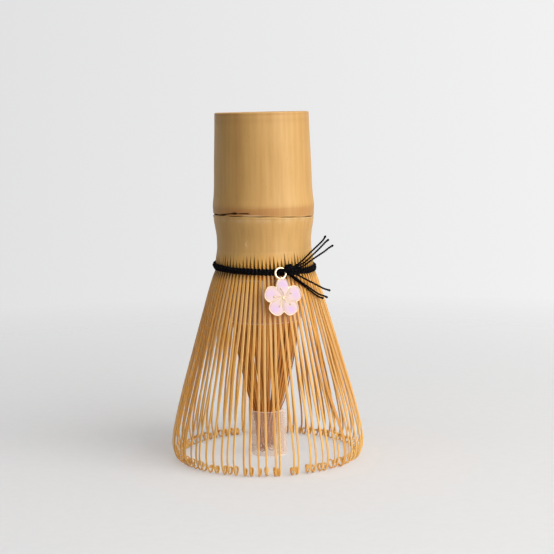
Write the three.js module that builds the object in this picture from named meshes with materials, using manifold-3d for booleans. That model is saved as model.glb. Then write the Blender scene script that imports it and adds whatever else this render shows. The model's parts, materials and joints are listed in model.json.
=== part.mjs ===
// Bamboo tea whisk standing on the tips of its tines, with a black cord and a blossom charm.
// Millimetres, +Z up the handle. The origin is on the ground at the whisk's axis, and the charm faces -Y.
import * as THREE from 'three';
import { mergeVertices } from 'three/addons/utils/BufferGeometryUtils.js';
import Module from 'manifold-3d';

const wasm = await Module();
wasm.setup();

// ---- Driving dimensions ----

// Handle: a hollow length of culm, closed inside by the stalk's own diaphragm at the node.
const HEIGHT = 110;
const NODE_Z = 77.7;
const SPLIT_Z = 67; // below this the culm's wall is split into tines
const HANDLE_TOP_R = 14.9;
const NODE_R = 15.95;
const WAIST_R = 14.97;
const SPLIT_R = 15.03;
const BORE_R = 11.6;
const SKIRT_BORE_R = 12.1;
const DIAPHRAGM_THICKNESS = 2.4;
const EDGE_ROUND = 0.4;

// Tines: two rings cut from the culm's wall, both growing from a short uncut root.
const ROOT_HEIGHT = 2;
const ROOT_OVERLAP = 1.4; // how far a tine runs up into its root
const OUTER_COUNT = 80;
const OUTER_THICKNESS = 0.4;
const OUTER_WIDTH = { top: 0.8, bottom: 0.6 };
const OUTER_ROOT_R = 13.95;
const BRIM_R = 30.85;
const BRIM_Z = 5.4;
const FOOT_R = 28.5;
const FOOT_LENGTH = 0.8; // flat that each tine stands on
const FOOT_SINK = 0.05; // set a little low and cut off at the ground, so the flat has its full length
const HOOK_R = 1.9;
const HOOK_TURN = THREE.MathUtils.degToRad(125);
const INNER_COUNT = 48;
const INNER_THICKNESS = 0.3;
const INNER_WIDTH = { top: 0.8, bottom: 0.38 };
const INNER_ROOT = { inside: 12.1, outside: 13.65 };
const INNER_TIP = { r: 3.7, z: 3.5 };
const BUNDLE_GAP = 0.25; // between the bundled inner tines and the mouth of their sleeve

// Cord: two turns side by side over the outer tines, and one course between the rings of tines.
const CORD_Z = 61.4;
const CORD_HEIGHT = 2;
const CORD_DEPTH = 1;
const NECK_R = 15.3; // outer tines where the cord nips them
const CORD_GAP = 0.2;
const WEAVE = { inside: 13.25, outside: 14.25, height: 1.2 };
const STRAND_R = 0.42;
const TAIL_R = 0.3;
const KNOT_AZIMUTH = THREE.MathUtils.degToRad(28.5);
const KNOT_DISTANCE = 17.6;
const KNOT_HALF = [1.5, 1.8, 0.9]; // round the whisk, up, outwards
// Loose ends, in the knot's frame. The ends of one bunch leave the knot one above the other.
const TAIL_TIPS = {
  up: [[12.4, 10.5], [13.6, 9.3], [15.1, 7.4]],
  down: [[13.4, -6.7], [12.5, -8.7], [11.5, -9]],
};
const TAIL_START = { up: 1.6, down: -0.4, step: 0.6 }; // height of the topmost, and the step down
const TAIL_CLEAR = 0.35; // from the knot's side to where the ends begin

// Charm and jump ring: they hang where the cord's strand comes out, and lean back on the tines.
const CHARM_AZIMUTH = THREE.MathUtils.degToRad(16.7);
const CHARM_LEAN = THREE.MathUtils.degToRad(12.5);
const RING_Z = 60.75;
const RING_DISTANCE = 17.4; // from the whisk's axis to the ring's centre
const RING_R = 1.65;
const RING_WIRE_R = 0.35;
const PETALS = 5;
const PETAL_CENTRE_R = 3.55;
const PETAL_R = 2.4;
const CHARM_DROP = 7.35; // from the ring's centre down to the charm's
const CHARM_THICKNESS = 1.1;
const CHARM_STANDOFF = 0.6; // from the ring's plane to the charm's back
const RIM_WIDTH = 0.35;
const PETAL_ROOT_R = 0.6; // where the petals stop short of the charm's middle
const ENAMEL_DEPTH = 0.5;
const ENAMEL_GAP = 0.05;
const BAIL = { r: 0.85, hole: 0.48, length: 0.5 };

// Clear parts: the tube round the inner tips, and the film collar round the inner tines.
const SLEEVE = { r: 5.4, wall: 0.25, bottom: 0.3, top: 14.8 };
const COLLAR = { bottom: 44.2, top: 58, bottomR: 11.55, topR: 13, wall: 0.25 };

// Steps in a full turn of every piece that goes round the axis.
const HOOP_SEGMENTS = 36;

// ---- Materials ----

const bamboo = new THREE.MeshStandardMaterial({ color: 0xd6a566, roughness: 0.5 });
const outerBamboo = new THREE.MeshStandardMaterial({ color: 0xe0a95c, roughness: 0.55 });
const innerBamboo = new THREE.MeshStandardMaterial({ color: 0xb9803f, roughness: 0.6 });
const blackCord = new THREE.MeshStandardMaterial({ color: 0x141215, roughness: 0.85 });
const gold = new THREE.MeshStandardMaterial({ color: 0xe6c58a, roughness: 0.25, metalness: 1 });
const enamel = new THREE.MeshStandardMaterial({ color: 0xf3c9d8, roughness: 0.2 });
const clearFilm = new THREE.MeshStandardMaterial({
  color: 0xf4eeee,
  roughness: 0.1,
  transparent: true,
  opacity: 0.35,
});

// ---- Shared geometry helpers ----

const v2 = (x, y) => new THREE.Vector2(x, y);
const v3 = (x, y, z) => new THREE.Vector3(x, y, z);

// A profile of (radius, height) points turned about Z. It runs up its outer side.
function turned(profile, segments) {
  return new THREE.LatheGeometry(profile, segments).rotateX(Math.PI / 2);
}

// An open tube of one wall thickness; its outer radius may change from bottom to top.
function tube(bottomZ, bottomR, topZ, topR, wall) {
  return turned([
    v2(bottomR - wall, bottomZ),
    v2(bottomR, bottomZ),
    v2(topR, topZ),
    v2(topR - wall, topZ),
    v2(bottomR - wall, bottomZ),
  ], HOOP_SEGMENTS);
}

function solidOf(geometry) {
  const bare = geometry.clone();
  bare.deleteAttribute('normal');
  bare.deleteAttribute('uv');
  const merged = mergeVertices(bare);
  const mesh = new wasm.Mesh({
    numProp: 3,
    vertProperties: Float32Array.from(merged.attributes.position.array),
    triVerts: Uint32Array.from(merged.index.array),
  });
  return new wasm.Manifold(mesh);
}

function geometryOf(solid) {
  const mesh = solid.getMesh();
  const geometry = new THREE.BufferGeometry();
  geometry.setAttribute('position', new THREE.BufferAttribute(mesh.vertProperties, 3));
  geometry.setIndex(new THREE.BufferAttribute(mesh.triVerts, 1));
  geometry.computeVertexNormals();
  return geometry;
}

// Points along curves that follow each other, each cut into its own number of steps.
function pointsAlong(...stretches) {
  return stretches.flatMap(([curve, steps], i) => curve.getPoints(steps).slice(i === 0 ? 0 : 1));
}

// The side view of a strip of even thickness whose centre line runs through the points.
function stripShape(points, thickness) {
  const offset = (side) =>
    points.map((point, i) => {
      const before = points[Math.max(i - 1, 0)];
      const after = points[Math.min(i + 1, points.length - 1)];
      const along = after.clone().sub(before).normalize();
      return v2(point.x - along.y * side, point.y + along.x * side);
    });
  return new THREE.Shape([...offset(thickness / 2), ...offset(-thickness / 2).reverse()]);
}

// ---- Handle ----

function handle() {
  const wallSide = new THREE.SplineCurve([
    v2(NODE_R, NODE_Z),
    v2(16.02, 81),
    v2(15.65, 85.5),
    v2(15.25, 98),
    v2(HANDLE_TOP_R, HEIGHT - EDGE_ROUND),
  ]);
  const waistSide = new THREE.SplineCurve([
    v2(SPLIT_R, SPLIT_Z),
    v2(WAIST_R, 68.4),
    v2(15.57, 74.5),
    v2(NODE_R, NODE_Z),
  ]);
  const diaphragmTop = NODE_Z + DIAPHRAGM_THICKNESS / 2;
  const diaphragmBottom = NODE_Z - DIAPHRAGM_THICKNESS / 2;
  const profile = [
    v2(0, diaphragmBottom),
    v2(SKIRT_BORE_R, diaphragmBottom),
    v2(SKIRT_BORE_R, SPLIT_Z),
    ...pointsAlong([waistSide, 4], [wallSide, 5]),
    v2(HANDLE_TOP_R - EDGE_ROUND, HEIGHT),
    v2(BORE_R, HEIGHT),
    v2(BORE_R, diaphragmTop),
    v2(0, diaphragmTop),
  ];
  return turned(profile, HOOP_SEGMENTS);
}

// ---- Tines ----

// One tine lying in the XZ plane: its side view, as wide as the tine, then drawn in towards its tip.
function tine(points, thickness, width) {
  const geometry = new THREE.ExtrudeGeometry(stripShape(points, thickness), {
    depth: width.top,
    bevelEnabled: false,
  });
  geometry.translate(0, 0, -width.top / 2).rotateX(Math.PI / 2);
  const position = geometry.attributes.position;
  for (let i = 0; i < position.count; i += 1) {
    const down = 1 - position.getZ(i) / SPLIT_Z;
    position.setY(i, position.getY(i) * THREE.MathUtils.lerp(1, width.bottom / width.top, down));
    position.setZ(i, Math.max(position.getZ(i), 0)); // the foot is flat where it stands
  }
  return geometry;
}

// A full ring of equal tines, joined to the uncut root that they grow from.
function tineRing(tineGeometry, count, rootProfile) {
  const single = solidOf(tineGeometry);
  let ring = solidOf(turned(rootProfile, HOOP_SEGMENTS));
  for (let i = 0; i < count; i += 1) {
    ring = ring.add(single.rotate([0, 0, (360 * i) / count]));
  }
  return geometryOf(ring);
}

function outerTines() {
  const half = OUTER_THICKNESS / 2;
  const rootBottom = SPLIT_Z - ROOT_HEIGHT;
  const cordTop = CORD_Z + CORD_HEIGHT / 2;
  const cordBottom = CORD_Z - CORD_HEIGHT / 2;
  const neckR = NECK_R - half;
  const footZ = half - FOOT_SINK;
  const rootR = (OUTER_ROOT_R + NECK_R) / 2;
  const throughRoot = new THREE.LineCurve(v2(rootR, rootBottom + ROOT_OVERLAP), v2(neckR, cordTop));
  const underCord = new THREE.LineCurve(v2(neckR, cordTop), v2(neckR, cordBottom));
  const flare = new THREE.CubicBezierCurve(
    v2(neckR, cordBottom),
    v2(19.4, 50.3),
    v2(29.9, 14),
    v2(BRIM_R - half, BRIM_Z),
  );
  const heel = FOOT_R + FOOT_LENGTH / 2;
  const toe = FOOT_R - FOOT_LENGTH / 2;
  const brim = new THREE.EllipseCurve(
    heel, BRIM_Z, BRIM_R - half - heel, BRIM_Z - footZ, 0, -Math.PI / 2, true,
  );
  const foot = new THREE.LineCurve(v2(heel, footZ), v2(toe, footZ));
  const hookStart = -Math.PI / 2;
  const hook = new THREE.EllipseCurve(
    toe, footZ + HOOK_R, HOOK_R, HOOK_R, hookStart, hookStart - HOOK_TURN, true,
  );
  const centreLine = pointsAlong(
    [throughRoot, 1], [underCord, 1], [flare, 3], [brim, 2], [foot, 1], [hook, 2],
  );
  const rootProfile = [
    v2(OUTER_ROOT_R, rootBottom),
    v2(NECK_R, rootBottom),
    v2(SPLIT_R, SPLIT_Z),
    v2(OUTER_ROOT_R, SPLIT_Z),
    v2(OUTER_ROOT_R, rootBottom),
  ];
  return tineRing(tine(centreLine, OUTER_THICKNESS, OUTER_WIDTH), OUTER_COUNT, rootProfile);
}

function innerTines() {
  const rootBottom = SPLIT_Z - ROOT_HEIGHT;
  const rootR = (INNER_ROOT.inside + INNER_ROOT.outside) / 2;
  const mouthR = SLEEVE.r - SLEEVE.wall - BUNDLE_GAP - INNER_THICKNESS / 2;
  const drawnIn = new THREE.SplineCurve([
    v2(rootR, rootBottom + ROOT_OVERLAP),
    v2(12.3, 59),
    v2(10.65, 44.2),
    v2(8.3, 29.6),
    v2(mouthR, SLEEVE.top),
  ]);
  const bundled = new THREE.LineCurve(v2(mouthR, SLEEVE.top), v2(INNER_TIP.r, INNER_TIP.z));
  const rootProfile = [
    v2(INNER_ROOT.inside, rootBottom),
    v2(INNER_ROOT.outside, rootBottom),
    v2(INNER_ROOT.outside, SPLIT_Z),
    v2(INNER_ROOT.inside, SPLIT_Z),
    v2(INNER_ROOT.inside, rootBottom),
  ];
  const centreLine = pointsAlong([drawnIn, 5], [bundled, 1]);
  return tineRing(tine(centreLine, INNER_THICKNESS, INNER_WIDTH), INNER_COUNT, rootProfile);
}

// ---- Cord ----

// A hoop of cord with its long sides flattened and its four corners cut back.
function hoop(inside, outside, centreZ, height) {
  const cut = Math.min(outside - inside, height) * 0.3;
  const low = centreZ - height / 2;
  const high = centreZ + height / 2;
  return turned([
    v2(inside, low + cut),
    v2(inside + cut, low),
    v2(outside - cut, low),
    v2(outside, low + cut),
    v2(outside, high - cut),
    v2(outside - cut, high),
    v2(inside + cut, high),
    v2(inside, high - cut),
    v2(inside, low + cut),
  ], HOOP_SEGMENTS);
}

function cordBand() {
  const inside = NECK_R + CORD_GAP;
  return hoop(inside, inside + CORD_DEPTH, CORD_Z, CORD_HEIGHT);
}

function cordWeave() {
  const low = CORD_Z - WEAVE.height / 2;
  return tube(low, WEAVE.outside, low + WEAVE.height, WEAVE.outside, WEAVE.outside - WEAVE.inside);
}

// A round strand along a curve.
function strand(curve, radius, steps) {
  const section = new THREE.Shape();
  section.absarc(0, 0, radius, 0, 2 * Math.PI);
  return new THREE.ExtrudeGeometry(section, { steps, curveSegments: 6, extrudePath: curve });
}

// The knot, in its own frame: X round the whisk, Y up, Z outwards. One strand leaves it, crosses
// over the jump ring's side and goes in through the ring.
function cordKnot() {
  const lump = new THREE.SphereGeometry(1, 12, 8).scale(...KNOT_HALF);
  const throughRing = new THREE.CatmullRomCurve3([
    v3(-0.3, 0.35, 0.2),
    v3(-1.3, 0.45, 0.75),
    v3(-2.2, 0.4, 0.72),
    v3(-3.1, 0.15, 0),
    v3(-3.6, 0, -0.75),
  ]);
  return geometryOf(solidOf(lump).add(solidOf(strand(throughRing, STRAND_R, 6))));
}

// A loose end, in the knot's frame: it leaves the knot's right side and bends away to its tip.
// Each end of a bunch starts and bends a little further in than the one before, to lie clear of it.
function cordTail([tipX, tipY], side, i) {
  const startY = TAIL_START[side] - TAIL_START.step * i;
  const start = v3(KNOT_HALF[0] + TAIL_CLEAR, startY, 0.3 - 0.3 * i);
  const bend = v3(tipX * 0.45, tipY * 0.4, 0.5 - 0.5 * i);
  return strand(new THREE.QuadraticBezierCurve3(start, bend, v3(tipX, tipY, 0)), TAIL_R, 5);
}

// ---- Charm ----

// How far round to each side a petal's edge runs before it meets the next petal. A petal drawn in
// by inset stops half as far short of the line between the two.
function lobeSweep(inset) {
  const half = Math.PI / PETALS;
  const across = PETAL_CENTRE_R * Math.sin(half) - inset / 2;
  return half + Math.asin(across / (PETAL_R - inset));
}

// The blossom's edge: one round lobe for each petal, meeting the next in a notch.
function blossomShape() {
  const sweep = lobeSweep(0);
  const shape = new THREE.Shape();
  for (let i = 0; i < PETALS; i += 1) {
    const turn = Math.PI / 2 + (2 * Math.PI * i) / PETALS;
    const centre = v2(Math.cos(turn), Math.sin(turn)).multiplyScalar(PETAL_CENTRE_R);
    shape.absarc(centre.x, centre.y, PETAL_R, turn - sweep, turn + sweep);
  }
  shape.closePath();
  return shape;
}

// One petal's enamel, pointing along +Y, drawn in by inset from the petal's edge.
function petalShape(inset) {
  const r = PETAL_R - inset;
  const start = Math.PI / 2 - lobeSweep(inset);
  const shape = new THREE.Shape();
  shape.moveTo(0, PETAL_ROOT_R + inset);
  shape.lineTo(r * Math.cos(start), PETAL_CENTRE_R + r * Math.sin(start));
  shape.absarc(0, PETAL_CENTRE_R, r, start, Math.PI - start);
  shape.closePath();
  return shape;
}

function petalPlate(inset, depth, turn) {
  const plate = new THREE.ExtrudeGeometry(petalShape(inset), {
    depth,
    bevelEnabled: false,
    curveSegments: 8,
  });
  return plate.translate(0, 0, CHARM_THICKNESS - ENAMEL_DEPTH).rotateZ(turn);
}

const petalTurn = (i) => (2 * Math.PI * i) / PETALS;

// The charm's plate, in the charm's frame: back on Z = 0, face towards +Z, one petal up along +Y.
function charmFrame() {
  const plate = new THREE.ExtrudeGeometry(blossomShape(), {
    depth: CHARM_THICKNESS,
    bevelEnabled: false,
    curveSegments: 8,
  });
  const hingeY = CHARM_DROP - RING_R;
  const loopSides = (r) => new THREE.CylinderGeometry(r, r, BAIL.length, 12).rotateZ(Math.PI / 2);
  const loop = loopSides(BAIL.r).translate(0, hingeY, -CHARM_STANDOFF);
  const foot = new THREE.BoxGeometry(BAIL.length, 1.2, 0.7).translate(0, hingeY - 1, 0);
  const hole = loopSides(BAIL.hole).scale(2, 1, 1).translate(0, hingeY, -CHARM_STANDOFF);
  let solid = solidOf(loop).add(solidOf(foot)).subtract(solidOf(hole)).add(solidOf(plate));
  for (let i = 0; i < PETALS; i += 1) {
    solid = solid.subtract(solidOf(petalPlate(RIM_WIDTH, 2 * ENAMEL_DEPTH, petalTurn(i))));
  }
  return geometryOf(solid);
}

function charmPetal(i) {
  const fill = ENAMEL_DEPTH - 2 * ENAMEL_GAP;
  return petalPlate(RIM_WIDTH + ENAMEL_GAP, fill, petalTurn(i)).translate(0, 0, ENAMEL_GAP);
}

function jumpRing() {
  return new THREE.TorusGeometry(RING_R, RING_WIRE_R, 8, 24);
}

// ---- Clear parts ----

function tipSleeve() {
  return tube(SLEEVE.bottom, SLEEVE.r, SLEEVE.top, SLEEVE.r, SLEEVE.wall);
}

function spreaderCollar() {
  return tube(COLLAR.bottom, COLLAR.bottomR, COLLAR.top, COLLAR.topR, COLLAR.wall);
}

// ---- Assembly ----

const whisk = new THREE.Group();

function place(parent, name, geometry, material) {
  const mesh = new THREE.Mesh(geometry, material);
  mesh.name = name;
  parent.add(mesh);
}

place(whisk, 'handle', handle(), bamboo);
place(whisk, 'outer_tines', outerTines(), outerBamboo);
place(whisk, 'inner_tines', innerTines(), innerBamboo);
place(whisk, 'cord_band', cordBand(), blackCord);
place(whisk, 'cord_weave', cordWeave(), blackCord);
place(whisk, 'tip_sleeve', tipSleeve(), clearFilm);
place(whisk, 'spreader_collar', spreaderCollar(), clearFilm);

// A place on the whisk's side: X runs round the whisk, Y up and Z outwards, leaning back by lean.
// Azimuths run from -Y towards +X.
function facing(azimuth, distance, z, lean = 0) {
  const turn = new THREE.Group();
  const stand = new THREE.Group();
  turn.rotation.z = azimuth;
  stand.position.set(0, -distance, z);
  stand.rotation.x = Math.PI / 2 - lean;
  turn.add(stand);
  whisk.add(turn);
  return stand;
}

const knotPlace = facing(KNOT_AZIMUTH, KNOT_DISTANCE, CORD_Z);
place(knotPlace, 'cord_knot', cordKnot(), blackCord);
for (const [side, tips] of Object.entries(TAIL_TIPS)) {
  tips.forEach((tip, i) => {
    place(knotPlace, `cord_tail_${side}_${i + 1}`, cordTail(tip, side, i), blackCord);
  });
}

const ringPlace = facing(CHARM_AZIMUTH, RING_DISTANCE, RING_Z, CHARM_LEAN);
place(ringPlace, 'jump_ring', jumpRing(), gold);

const charm = new THREE.Group();
charm.position.set(0, -CHARM_DROP, CHARM_STANDOFF);
ringPlace.add(charm);
place(charm, 'charm_frame', charmFrame(), gold);
for (let i = 0; i < PETALS; i += 1) {
  place(charm, `charm_petal_${i + 1}`, charmPetal(i), enamel);
}

export default whisk;
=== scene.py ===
"""The looks of the bamboo tea whisk. Lengths are in millimetres until a mesh is made, apart from the
stage's, which are in metres. An azimuth runs from the front (-Y) towards the right (+X)."""
import json
import math

import bmesh
import bpy
import numpy as np
from mathutils import Matrix, Vector

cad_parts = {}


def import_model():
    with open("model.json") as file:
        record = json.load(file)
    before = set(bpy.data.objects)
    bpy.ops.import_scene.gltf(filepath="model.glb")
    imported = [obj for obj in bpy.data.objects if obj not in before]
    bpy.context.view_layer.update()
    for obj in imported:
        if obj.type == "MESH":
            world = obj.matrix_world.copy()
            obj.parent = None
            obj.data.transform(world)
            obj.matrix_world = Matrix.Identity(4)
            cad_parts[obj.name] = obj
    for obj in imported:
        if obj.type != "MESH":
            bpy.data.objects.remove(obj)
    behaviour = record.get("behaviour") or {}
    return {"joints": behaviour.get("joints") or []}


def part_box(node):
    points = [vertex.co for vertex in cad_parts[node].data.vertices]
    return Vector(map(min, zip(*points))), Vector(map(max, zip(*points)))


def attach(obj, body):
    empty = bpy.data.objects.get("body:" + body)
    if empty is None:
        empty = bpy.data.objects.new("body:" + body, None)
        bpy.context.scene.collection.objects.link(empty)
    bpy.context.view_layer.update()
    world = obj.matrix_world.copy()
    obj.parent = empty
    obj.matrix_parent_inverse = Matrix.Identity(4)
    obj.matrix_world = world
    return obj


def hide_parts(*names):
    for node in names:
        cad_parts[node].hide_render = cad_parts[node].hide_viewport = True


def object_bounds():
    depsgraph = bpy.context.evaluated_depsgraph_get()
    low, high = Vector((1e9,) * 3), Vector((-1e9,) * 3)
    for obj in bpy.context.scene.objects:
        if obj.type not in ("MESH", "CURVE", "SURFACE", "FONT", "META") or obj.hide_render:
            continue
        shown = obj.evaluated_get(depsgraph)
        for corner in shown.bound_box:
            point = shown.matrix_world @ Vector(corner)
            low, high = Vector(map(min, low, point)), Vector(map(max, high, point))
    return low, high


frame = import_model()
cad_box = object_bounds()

MM = 0.001
TAU = 2 * math.pi
UP = np.array([0.0, 0.0, 1.0])


def mm_box(node):
    """Lowest and highest corner of a CAD node, in millimetres."""
    low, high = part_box(node)
    return np.array(low) / MM, np.array(high) / MM


# ---- Driving dimensions, most of them from the frame ----

HEIGHT = mm_box("handle")[1][2]
SPLIT_Z = mm_box("handle")[0][2]
BRIM_R = mm_box("outer_tines")[1][0]
CORD_LOW, CORD_HIGH = (corner[2] for corner in mm_box("cord_band"))
CORD_Z = (CORD_LOW + CORD_HIGH) / 2
SLEEVE_LOW, SLEEVE_HIGH = mm_box("tip_sleeve")
COLLAR_LOW, COLLAR_HIGH = mm_box("spreader_collar")

# Handle: the node is where the stalk is closed inside, and the skirt is the hollow below it.
NODE_Z = 77.7
DIAPHRAGM = 2.4
BORE_R = 11.6
SKIRT_BORE_R = 12.1
SKIN_COLUMNS = 400
# Radius of the bamboo's skin by height, from the handle's end to the cord.
CULM = [
    (HEIGHT, 14.87), (104, 15.02), (98, 15.25), (93.5, 15.4), (88.4, 15.52), (86, 15.62), (83.4, 15.8),
    (81.8, 16.0), (80.6, 16.08), (79.2, 16.0), (78.2, 15.94), (77.2, 15.9), (75.8, 15.77), (74.4, 15.56),
    (73.2, 15.36), (71.8, 15.15), (70.4, 15.02), (68.8, 14.98), (67.2, 15.0), (65.6, 15.2), (64.2, 15.42),
    (62.9, 15.58), (61.4, 15.5), (60.2, 15.75),
]

# Outer tines: radius of their skin by height from the cord to the brim, then sizes by height.
OUTER_COUNT = 80
PITCH = TAU / OUTER_COUNT
FLARE = [
    (58.4, 16.5), (53.8, 18.05), (47, 20.05), (40.9, 21.85), (33, 24.1), (28, 25.55), (20, 27.8), (14, 29.3),
    (9, 30.4),
]
BRIM_Z = 5.5
FOOT_R = 28.6
OUTER_WIDTHS = ([0, 10, 25, 38, 50, 60.2], [0.58, 0.62, 0.72, 0.76, 0.78, 0.8])
OUTER_THICKNESSES = ([0, 12, 30, 50, CORD_Z, 64, SPLIT_Z], [0.26, 0.34, 0.46, 0.5, 0.5, 0.6, 0.85])
# Azimuths of two wide gaps at the front, how far they push tines aside, and how far off that is felt.
GAPS = np.radians([11.7, 20.0])
GAP_PUSH = math.radians(2.1)
GAP_REACH = math.radians(7)
# Azimuth of the one tine that bows out of line.
ODD_TINE = math.radians(49.5)

# Inner tines, and the uncut hoop that they hang from.
INNER_COUNT = 48
INNER_TOP = 66.6
INNER_ROOT_R = 12.8
INNER_WIDTHS = ([0, 12, 30, 44, 56], [0.42, 0.55, 0.82, 1.25, 1.55])
INNER_THICKNESSES = ([0, 12, 30, 60], [0.2, 0.26, 0.34, 0.42])
HOOP_LOW = 63.2

# Cord.
BAND_YARN_R = 0.47
WEAVE_YARN_R = 0.28
KNOT_AZIMUTH = math.radians(28.5)
KNOT_DISTANCE = 17.6
KNOT_SIDEWAYS = -0.85
KNOT_RISE = 0.45

# Jump ring and charm. The joints say where both hang and which way they face.
joint = {j["name"]: j for j in frame["joints"]}


def unit(v):
    return v / np.linalg.norm(v, axis=-1, keepdims=True)


RING_CENTRE = np.array(joint["jump_ring_turn"]["pos_m"]) / MM
FACING = unit(np.array(joint["jump_ring_turn"]["axis"], float))
HINGE = np.array(joint["charm_lift"]["pos_m"]) / MM
RIGHT = -unit(np.array(joint["charm_lift"]["axis"], float))
RISE = np.cross(FACING, RIGHT)
RING_R = float(np.linalg.norm(RING_CENTRE - HINGE))
RING_WIRE_R = 0.35
CHARM_DROP = 7.35
STANDOFF = 0.6
CHARM_CENTRE = RING_CENTRE - RISE * CHARM_DROP + FACING * STANDOFF
PETALS = 5
PETAL_CENTRE_R = 3.62
PETAL_R = 2.5
# The petal under the ring is narrower than the others.
PETAL_WIDTHS = [0.84, 1.03, 1.0, 1.0, 1.03]
# The blossom sits turned a little to the right on its bail, low and off to the left.
BLOSSOM_LEAN = math.radians(-1.5)
BLOSSOM_SHIFT = (-0.25, -0.35, 0)
PLATE = 0.72
RIM_TOP = 1.08
BAIL_R = 0.66

# Clear film.
FILM = 0.12
COLLAR_FOOT_R = 11.55

# Camera: in metres and degrees, a little above the handle's end and tipped down.
CAMERA_PLACE = (0.0039, -0.45, 0.113)
CAMERA_PITCH = math.radians(7.02)
CAMERA_ROLL = math.radians(-1.1)
CAMERA_LENS = 92.35


# ---- Curves ----


def through(points, per_span=16):
    """A smooth curve through the points."""
    p = np.array(points, float)
    p = np.vstack([2 * p[0] - p[1], p, 2 * p[-1] - p[-2]])
    t = np.linspace(0, 1, per_span, endpoint=False)[:, None]
    spans = []
    for a, b, c, d in zip(p, p[1:], p[2:], p[3:]):
        cubic = (3 * b - a - 3 * c + d) * t**3 + (2 * a - 5 * b + 4 * c - d) * t**2
        spans.append(0.5 * (2 * b + (c - a) * t + cubic))
    return np.vstack([*spans, p[-2:-1]])


def lengths(path):
    """Distance along the path to each of its points."""
    steps = np.linalg.norm(np.diff(path, axis=0), axis=1)
    return np.concatenate([[0], np.cumsum(steps)])


def respaced(path, count):
    """The path again, as count points an equal distance apart."""
    s = lengths(path)
    at = np.linspace(0, s[-1], count)
    return np.column_stack([np.interp(at, s, column) for column in path.T])


def ease(x, low, high):
    """0 below low, 1 above high and smooth between."""
    t = np.clip((np.asarray(x, float) - low) / (high - low), 0, 1)
    return t * t * (3 - 2 * t)


def bell(x, middle, width):
    """1 at the middle, falling smoothly away to both sides."""
    return np.exp(-(((x - middle) / width) ** 2))


def around(azimuth):
    """Outward and sideways directions at an azimuth."""
    outward = np.stack([np.sin(azimuth), -np.cos(azimuth), 0 * azimuth], -1)
    sideways = np.stack([np.cos(azimuth), np.sin(azimuth), 0 * azimuth], -1)
    return outward, sideways


def full_turn(count):
    """Angles once round, an equal step apart."""
    return np.arange(count) * TAU / count


def signed(azimuth):
    """The same azimuth between -pi and pi, with 0 at the front."""
    return (azimuth + math.pi) % TAU - math.pi


culm_line = through(CULM)[::-1]


def culm_radius(z):
    return np.interp(z, culm_line[:, 0], culm_line[:, 1])


# ---- Meshes ----


class Shape:
    """Grids of points that become one mesh, each point with named numbers for its material."""

    def __init__(self):
        self.points = []
        self.faces = []
        self.marks = {}
        self.count = 0

    def grid(self, points, loop=False, **marks):
        """points is rows x columns x 3, and the last column joins the first. With loop the last row
        joins the first too, and without it both ends are closed. A mark has a number or a vector for
        every point, or one number for all."""
        rows, columns = points.shape[:2]
        across = np.arange(columns)
        right = (across + 1) % columns
        row = np.arange(rows if loop else rows - 1)[:, None]
        here, below = row * columns, (row + 1) % rows * columns
        quads = np.stack([here + across, here + right, below + right, below + across], -1)
        faces = quads.reshape(-1, 4).tolist()
        if not loop:
            faces += [list(range(columns)), list(range(rows * columns - columns, rows * columns))]
        self.faces += [tuple(corner + self.count for corner in face) for face in faces]
        self.points.append(points.reshape(-1, 3))
        self.count += rows * columns
        for name, values in marks.items():
            if np.ndim(values) == 0:
                values = np.full(rows * columns, values)
            self.marks.setdefault(name, []).append(np.reshape(values, (rows * columns, -1)))

    def mesh(self, name, smooth_angle):
        mesh = bpy.data.meshes.new(name)
        mesh.from_pydata(np.vstack(self.points) * MM, [], self.faces)
        for mark, parts in self.marks.items():
            values = np.concatenate(parts)
            vector = values.shape[1] == 3
            layer = mesh.attributes.new(mark, "FLOAT_VECTOR" if vector else "FLOAT", "POINT")
            layer.data.foreach_set("vector" if vector else "value", values.ravel())
        bm = bmesh.new()
        bm.from_mesh(mesh)
        bmesh.ops.recalc_face_normals(bm, faces=bm.faces)
        bm.to_mesh(mesh)
        bm.free()
        mesh.shade_smooth()
        mesh.set_sharp_from_angle(angle=math.radians(smooth_angle))
        return mesh


def into_scene(name, data):
    """A new object in the scene that holds the mesh, light or camera."""
    obj = bpy.data.objects.new(name, data)
    bpy.context.scene.collection.objects.link(obj)
    return obj


def piece(name, shape, material, body, node, smooth_angle):
    """Makes the shape a piece that stands for a CAD node."""
    obj = into_scene(name, shape.mesh(name, smooth_angle))
    obj.data.materials.append(material)
    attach(obj, body)
    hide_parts(node)
    return obj


def facing_section(path, along, side, section):
    """Rows of section points on a path. The section's first axis lies nearest to side."""
    side = unit(side - np.sum(side * along, 1, keepdims=True) * along)
    face = np.cross(along, side)
    return path[:, None] + section[..., :1] * side[:, None] + section[..., 1:2] * face[:, None]


def sweep(path, side, section):
    """Rows of section points along a path."""
    return facing_section(path, unit(np.gradient(path, axis=0)), side, section)


def sweep_loop(path, side, section):
    """sweep for a path that closes on itself. The section is turned over, so twists run the other way."""
    closed = np.vstack([path[-1:], path, path[:1]])
    along = unit(np.gradient(closed, axis=0)[1:-1])
    return facing_section(path, along, side, section * (1, -1))


def untwisted_side(path):
    """A sideways direction that follows the path without turning about it."""
    along = unit(np.gradient(path, axis=0))
    across = UP if abs(along[0][2]) < 0.9 else np.array([1.0, 0, 0])
    sides = [np.cross(along[0], across)]
    for a in along[1:]:
        sides.append(sides[-1] - np.dot(sides[-1], a) * a)
    return unit(np.array(sides))


def round_section(radii, corners):
    """Round cross-sections, one for each radius."""
    phi = full_turn(corners)
    return np.stack([np.outer(radii, np.cos(phi)), np.outer(radii, np.sin(phi))], -1)


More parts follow.
